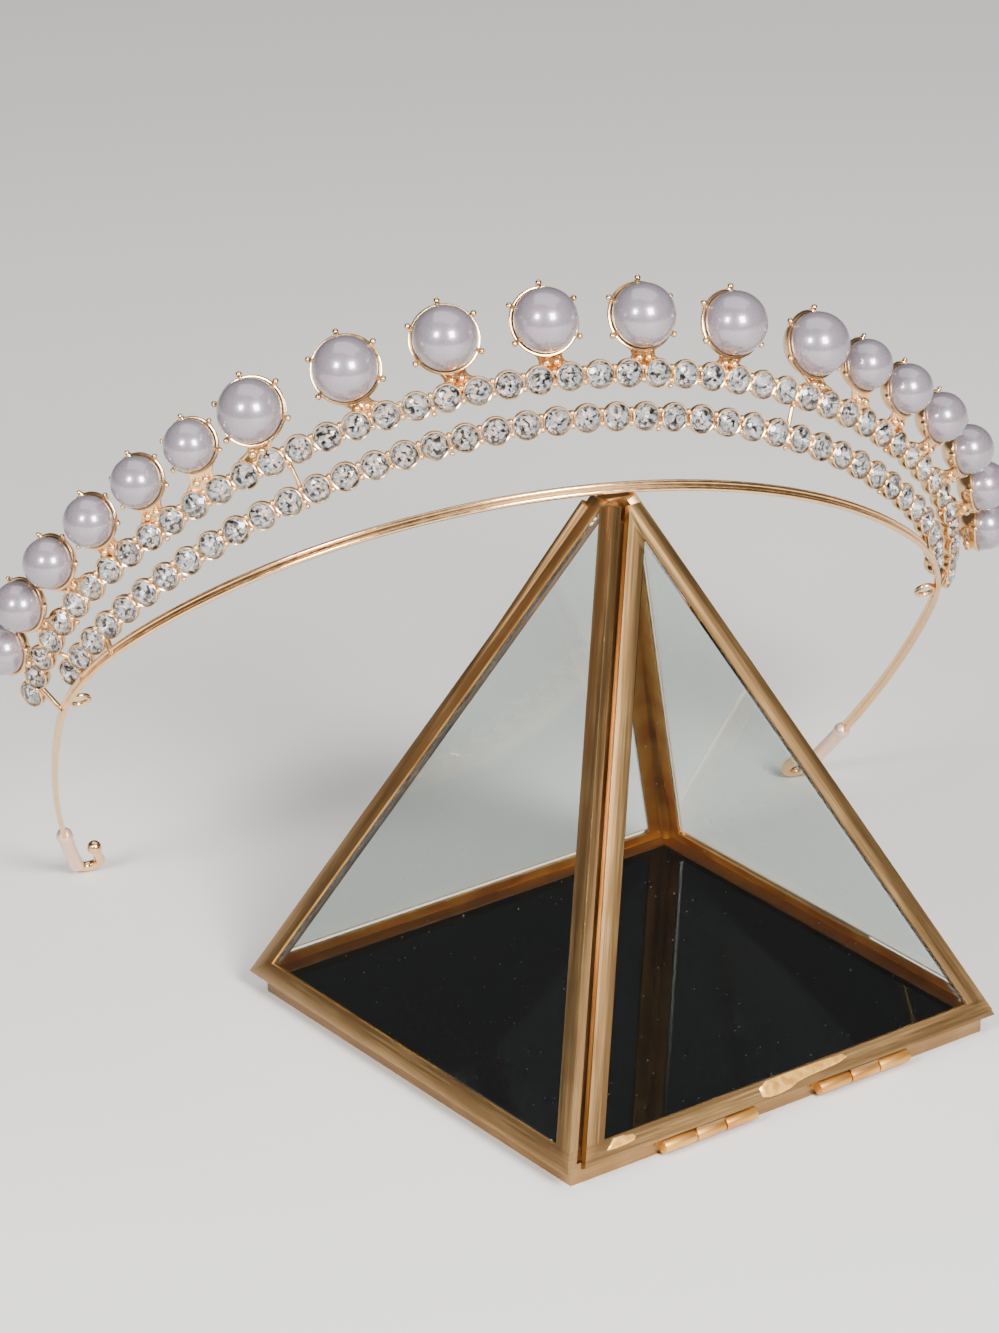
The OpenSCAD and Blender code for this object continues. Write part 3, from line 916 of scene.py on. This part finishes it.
class TIARA_OT_pearls(bpy.types.Operator):
    """Seven large pearls and twelve small ones"""

    bl_idname = "tiara.pearls"
    bl_label = "Pearls"

    def execute(self, context):
        material = nacre()
        for name, sides in (("large_pearls", LARGE_PEARLS), ("small_pearls", SMALL_PEARLS)):
            shape = mesh_from(name, *ball(pearl_radius(sides[0]), 28, 48))
            piece = set_on_points(name, pearl_places(sides), shape, material, sharp=180.0)
            nodes = [f"pearl_{k + PEARL_SIDE + 1:02d}" for k in sides]
            keep(piece, TIARA_BODY, "pearl", *nodes)
        return {"FINISHED"}


def setting_shape(radius):
    """Thin cup behind a pearl with a rolled rim and five ball-headed prongs on short stalks."""
    inner, outer, rim_z = radius + 0.1, radius + 0.46, -1.15
    rim = math.degrees(math.asin(-rim_z / outer))
    sweep = 84 - rim

    def arc(reach, angles):
        return [(reach * sin(a), -reach * cos(a)) for a in angles]

    rim_r = (inner + outer) / 2 * cos(rim)
    outline = [(0, -outer)] + arc(outer, [6 + sweep * n / 14 for n in range(15)])
    outline += [(rim_r + 0.34, rim_z), (rim_r + 0.3, -0.95), (rim_r + 0.08, -0.85),
                (rim_r - 0.14, -0.95), (rim_r - 0.17, -1.1)]
    outline += arc(inner, [sweep * (1 - n / 14) for n in range(14)]) + [(0, -inner)]
    parts = [lathe(outline, 40)]
    head = 0.1 * radius
    # Five of six places round the rim have a prong. The one over the foot has none.
    for n in range(1, 6):
        way = Vector((cos(n * 60 - 90), sin(n * 60 - 90), 0))
        seat = way * (rim_r - 0.05) + Vector((0, 0, -1.35))
        tip = way * (radius + 0.36 + head) + Vector((0, 0, -0.85))
        parts += [peg(seat, tip, 0.6, 0.34, 10), ball(head, 10, 14, tip)]
    return mesh_from("setting", *joined(parts))


def cup_back(k, past, back, side=0.0):
    """A point past the surface of a pearl, to one side and turned back from its foot."""
    reach = pearl_radius(k) + past
    return on_row(PEARLS, pearl_turn(k), PEARL_LEAN, (
        side, -reach * cos(back), -reach * sin(back)))


def foot_plate(k):
    """Points of the plate, with hollow sides, that fills the gap between a pearl's cup and the
    two stone cups under it. Also gives the count of points in a row, and the way out of it."""
    turn, reach = pearl_turn(k), pearl_radius(k) + 0.3
    joint = round(turn / UPPER["step"])
    rows, columns = 6, 10
    points = []
    for n in range(rows + 1):
        up = n / rows
        for m in range(columns + 1):
            across = (2 * m / columns - 1) * (1 - 0.88 * up * (1 - up))
            # The lower edge follows the stone cups, of radius 2.28 and 4.7 apart, 0.3 inside
            # their outline, and the upper edge follows the pearl's cup.
            rise = math.sqrt(max(5.2 - (2.2 * abs(across) - 2.35) ** 2, 0))
            low = joint_point(UPPER, joint, (2.2 * across, rise - 0.3, -0.3))
            bend = math.sqrt(1 - (2 * across / reach) ** 2)
            high = on_row(PEARLS, turn, PEARL_LEAN, (
                2 * across, -reach * cos(PLATE_TURN) * bend, -reach * sin(PLATE_TURN)))
            points.append(low.lerp(high, up))
    out = row_turn(turn, (CUP_LEAN + PEARL_LEAN) / 2) @ Vector((0, 0, 1))
    return points, columns + 1, out


def plate_mesh(points, width, out, thick):
    """A closed plate, thick on both sides of a grid of points."""
    count = len(points)
    verts = [p + out * thick for p in points] + [p - out * thick for p in points]
    faces = []
    for n in range(count // width - 1):
        for m in range(width - 1):
            a = n * width + m
            faces.append((a, a + 1, a + 1 + width, a + width))
            faces.append((a + count + width, a + count + 1 + width, a + count + 1, a + count))
    border = list(range(width - 1)) + list(range(width - 1, count - 1, width))
    border += list(range(count - 1, count - width, -1)) + list(range(count - width, 0, -width))
    for a, b in zip(border, border[1:] + border[:1]):
        faces.append((a, a + count, b + count, b))
    return verts, faces


class TIARA_OT_settings(bpy.types.Operator):
    """Cups and prongs behind the pearls, and their feet on the upper row"""

    bl_idname = "tiara.settings"
    bl_label = "Pearl settings"

    def execute(self, context):
        gold = rose_gold_plate()
        for name, sides in (("large_settings", LARGE_PEARLS), ("small_settings", SMALL_PEARLS)):
            shape = setting_shape(pearl_radius(sides[0]))
            keep_gold(set_on_points(name, pearl_places(sides), shape, gold, sharp=50.0))

        # A foot is a post, a plate in front of it with a round wire down each side, and two balls
        # in the plate's middle.
        lines, balls, plates = [], [], []
        for k in range(-PEARL_SIDE, PEARL_SIDE + 1):
            joint = round(pearl_turn(k) / UPPER["step"])
            if abs(k) <= FOOT_SIDE:
                back = POST_TURN_LARGE if abs(k) <= LARGE_SIDE else POST_TURN_SMALL
                low = joint_point(UPPER, joint, (0, 0.4, TIE_BACK))
                lines.append(([low, cup_back(k, 0.85, back)], POST_R))
                points, width, out = foot_plate(k)
                plates.append(plate_mesh(points, width, out, PLATE_HALF))
                lines += [(points[n::width], PLATE_WIRE_R) for n in (0, width - 1)]
            for side in (-0.8, 0.8):
                low = joint_point(UPPER, joint, (side, 1.5, 0.5))
                balls.append(cup_back(k, 0.3, PLATE_TURN, side).lerp(low, 0.55))
        keep_gold(wires("setting_feet", lines, gold, 10))
        verts, faces = joined(plates)
        keep_gold(closed_piece("foot_plates", [placed(v) for v in verts], faces, gold))
        keep_balls("foot_balls", FOOT_BALL_R, balls, gold, 10, 14)
        return {"FINISHED"}


class TIARA_OT_ties(bpy.types.Operator):
    """Short rods that tie the rows to each other and to the headband"""

    bl_idname = "tiara.ties"
    bl_label = "Ties"

    def execute(self, context):
        gold = rose_gold_plate()
        lines, nubs = [], []
        for side in (-1, 1):
            for low, high in ROW_TIES:
                ends = [joint_point(LOWER, side * low, (0, 0.4, TIE_BACK)),
                        joint_point(UPPER, side * high, (0, -0.4, TIE_BACK))]
                lines.append((ends, ROW_TIE_R))
            for row, step in BAND_TIES:
                turn = side * step * row["step"]
                ends = [polar(band_rho(turn), turn, 0),
                        joint_point(row, side * step, (0, -1.0, TIE_BACK))]
                lines.append((ends, BAND_TIE_R))
            for row, steps in NUBS:
                nubs += [joint_point(row, side * n, (0, -1.95, -0.5)) for n in steps]
        keep_gold(wires("row_ties", lines, gold, 12))
        keep_balls("row_nubs", NUB_R, nubs, gold, 8, 10)
        return {"FINISHED"}


# Slots of the finishes on the copies of the brass.
LACQUERED, EDGE_HIGHLIGHT, PAINTED_LIGHT = range(3)


def brass_finish(face):
    """Slot of a face's finish: painted light on the hinges and on the strips' inner faces."""
    middle = face.calc_center_median() / MM
    turned = rotation(-BOX_TURN, "Z") @ middle
    if math.hypot(turned.y - HINGE_Y, turned.z - HINGE_Z) < HINGE_REACH:
        return PAINTED_LIGHT
    inward = -Vector((middle.x, middle.y, 0)).normalized()
    return PAINTED_LIGHT if middle.z > SIDE_Z and face.normal.dot(inward) > 0.25 else LACQUERED


def brass_copy(name, node, body):
    """A merged copy of a brass node with rounded edges that carry a painted highlight."""
    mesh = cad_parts[node].data.copy()
    mesh.name = name
    mesh.materials.clear()
    for material in (lacquered_brass(), brass_painted_highlight(), brass_painted_light()):
        mesh.materials.append(material)
    bm = bmesh.new()
    bm.from_mesh(mesh)
    bmesh.ops.remove_doubles(bm, verts=bm.verts, dist=0.000002)
    bmesh.ops.dissolve_limit(bm, angle_limit=math.radians(1.0), verts=bm.verts, edges=bm.edges)
    for face in bm.faces:
        face.material_index = brass_finish(face)
    least = math.radians(32)
    sharp = [e for e in bm.edges if len(e.link_faces) == 2 and e.calc_face_angle(0) > least]
    # The bevel's faces take the brass painted with the edge highlight.
    bmesh.ops.bevel(
        bm, geom=sharp, offset=sizes().rounded_edge, offset_type="OFFSET",
        segments=2, profile=0.5, affect="EDGES", clamp_overlap=True, material=EDGE_HIGHLIGHT)
    bm.to_mesh(mesh)
    bm.free()
    smooth(mesh, 35.0)
    keep(new_object(name, mesh), body, "brass", node)


def finish_node(node, material):
    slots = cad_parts[node].data.materials
    slots.clear()
    slots.append(material)


# Runs of solder on the door's lower strip, as outlines across the door from its middle and up
# its slope: one between the hinges, wide at its left end, and one beside the front corner.
SOLDER_RUNS = (
    [(-4.9, 0.75), (-3.6, 0.3), (-1.8, 0.25), (0.4, 0.45), (1.8, 1.0), (4.6, 1.3), (7.6, 1.4),
     (10.4, 1.55), (12.2, 2.0), (11.4, 2.65), (7.5, 2.8), (3.0, 2.88), (-0.5, 2.9), (-3.6, 2.85),
     (-5.1, 2.1)],
    [(-34.2, 1.45), (-32.5, 1.3), (-30.5, 1.35), (-29.0, 1.5), (-28.6, 2.0), (-29.0, 2.5),
     (-30.2, 2.6), (-30.8, 2.85), (-32.6, 2.85), (-33.5, 2.1)])


def solder_run(outline):
    """A thin run of solder with a round edge, in the shared frame."""
    place = (rotation(BOX_TURN, "Z", 4) @ Matrix.Translation((0, SIDE_Y, SIDE_Z))
             @ rotation(SIDE_SLOPE, "X", 4))
    middle = Vector([sum(p[n] for p in outline) / len(outline) for n in (0, 1)])
    verts = []
    # Rings of points, each at a share of the outline and a height over the strip.
    for share, height in ((1.0, -0.02), (0.97, 0.07), (0.85, 0.13), (0.4, 0.16)):
        for point in outline:
            x, y = middle.lerp(Vector(point), share)
            verts.append(place @ Vector((x, y, height)) * MM)
    verts.append(place @ Vector((*middle, 0.16)) * MM)
    count, faces = len(outline), [list(range(len(outline)))]
    for low in range(0, 3 * count, count):
        faces += [(low + n, low + (n + 1) % count, low + count + (n + 1) % count, low + count + n)
                  for n in range(count)]
    faces += [(3 * count + n, 3 * count + (n + 1) % count, 4 * count) for n in range(count)]
    return verts, faces


class TIARA_OT_box(bpy.types.Operator):
    """Brass frame of the pyramid box, its panes and the mirror in its base"""

    bl_idname = "tiara.box"
    bl_label = "Glass box"

    def execute(self, context):
        brass_copy("box_brass", "box_frame", TIARA_BODY)
        glass = window_glass()
        for node in ("glass_front_left", "glass_back_left", "glass_back_right"):
            finish_node(node, glass)
        finish_node("base_mirror", dark_mirror())
        return {"FINISHED"}


class TIARA_OT_door(bpy.types.Operator):
    """Hinged side of the box, with the solder on its lower strip"""

    bl_idname = "tiara.door"
    bl_label = "Door"

    def execute(self, context):
        brass_copy("door_brass", "door_frame", "door")
        verts, faces = joined([solder_run(outline) for outline in SOLDER_RUNS])
        runs = closed_piece("door_solder", verts, faces, solder(), 60.0)
        keep(runs, "door", "brass", "door_frame")
        finish_node("door_glass", window_glass())
        return {"FINISHED"}


def softbox(name, place, target, size, power):
    light = bpy.data.lights.new(name, "AREA")
    light.shape = "RECTANGLE"
    light.size, light.size_y = size
    light.energy = power
    lamp = new_object(name, light)
    lamp.location = place
    lamp.rotation_euler = (Vector(target) - Vector(place)).to_track_quat("-Z", "Y").to_euler()


class TIARA_OT_stage(bpy.types.Operator):
    """Pale floor, soft studio lights and the camera"""

    bl_idname = "tiara.stage"
    bl_label = "Stage"

    def execute(self, context):
        size = 3.0
        floor = new_object("floor", mesh_from(
            "floor", [(-size, -size, 0), (size, -size, 0), (size, size, 0), (-size, size, 0)],
            [(0, 1, 2, 3)]))
        color = linear("DAD8D5")
        material, _ = new_material("pale_floor", color)
        surface(material, {"Base Color": color, "Roughness": 0.6})
        floor.data.materials.append(material)

        world = bpy.data.worlds.new("studio")
        context.scene.world = world
        world.use_nodes = True
        world.node_tree.nodes.clear()
        sky = add(world.node_tree, "ShaderNodeBackground", {
            "Color": linear("D2D1D0"), "Strength": 0.18})
        add(world.node_tree, "ShaderNodeOutputWorld", {"Surface": sky.outputs["Background"]})
        # Two softboxes beside the camera make the pair of highlights on each pearl.
        middle = (0, 0.03, 0.07)
        softbox("left_softbox", (-0.59, -0.48, 0.54), middle, (0.18, 0.22), 10.5)
        softbox("right_softbox", (0.16, -0.73, 0.55), middle, (0.27, 0.33), 20.5)
        softbox("top_softbox", (0.1, 0.2, 1.15), middle, (1.4, 1.0), 7.0)

        # The photograph's camera, as fitted to the box's corners.
        lens = bpy.data.cameras.new("camera")
        lens.sensor_fit = "HORIZONTAL"
        lens.sensor_width = 36
        lens.lens = 206.88
        lens.clip_start = 0.01
        camera = new_object("camera", lens)
        right = Vector((0.962, -0.2726, -0.0159))
        down = Vector((-0.1258, -0.3908, -0.9118))
        ahead = Vector((0.2423, 0.8792, -0.4103))
        turn = Matrix((right, -down, -ahead)).transposed()
        place = Vector((-230.5, -768.0, 420.4)) * MM
        camera.matrix_world = Matrix.Translation(place) @ turn.to_4x4()
        context.scene.camera = camera
        return {"FINISHED"}


OPERATORS = (
    TIARA_OT_stage, TIARA_OT_headband, TIARA_OT_tips, TIARA_OT_cups, TIARA_OT_stones,
    TIARA_OT_pearls, TIARA_OT_settings, TIARA_OT_ties, TIARA_OT_box, TIARA_OT_door)


class TIARA_PT_panel(bpy.types.Panel):
    """Sizes, finishes and pieces of the tiara"""

    bl_idname = "TIARA_PT_panel"
    bl_label = "Pearl tiara"
    bl_space_type = "VIEW_3D"
    bl_region_type = "UI"
    bl_category = "Tiara"

    def draw(self, context):
        for group in (sizes(), finishes()):
            column = self.layout.column()
            for name in group.__annotations__:
                column.prop(group, name)
        column = self.layout.column()
        for operator in OPERATORS:
            column.operator(operator.bl_idname)


CLASSES = (TiaraSizes, TiaraFinishes) + OPERATORS + (TIARA_PT_panel,)


def register():
    for item in CLASSES:
        bpy.utils.register_class(item)
    bpy.types.Scene.tiara_sizes = bpy.props.PointerProperty(type=TiaraSizes)
    bpy.types.Scene.tiara_finishes = bpy.props.PointerProperty(type=TiaraFinishes)


def unregister():
    del bpy.types.Scene.tiara_finishes
    del bpy.types.Scene.tiara_sizes
    for item in reversed(CLASSES):
        bpy.utils.unregister_class(item)


def main():
    register()
    bpy.ops.tiara.stage()
    bpy.ops.tiara.headband()
    bpy.ops.tiara.tips()
    bpy.ops.tiara.cups()
    bpy.ops.tiara.stones()
    bpy.ops.tiara.pearls()
    bpy.ops.tiara.settings()
    bpy.ops.tiara.ties()
    bpy.ops.tiara.box()
    bpy.ops.tiara.door()


if __name__ == "__main__":
    main()
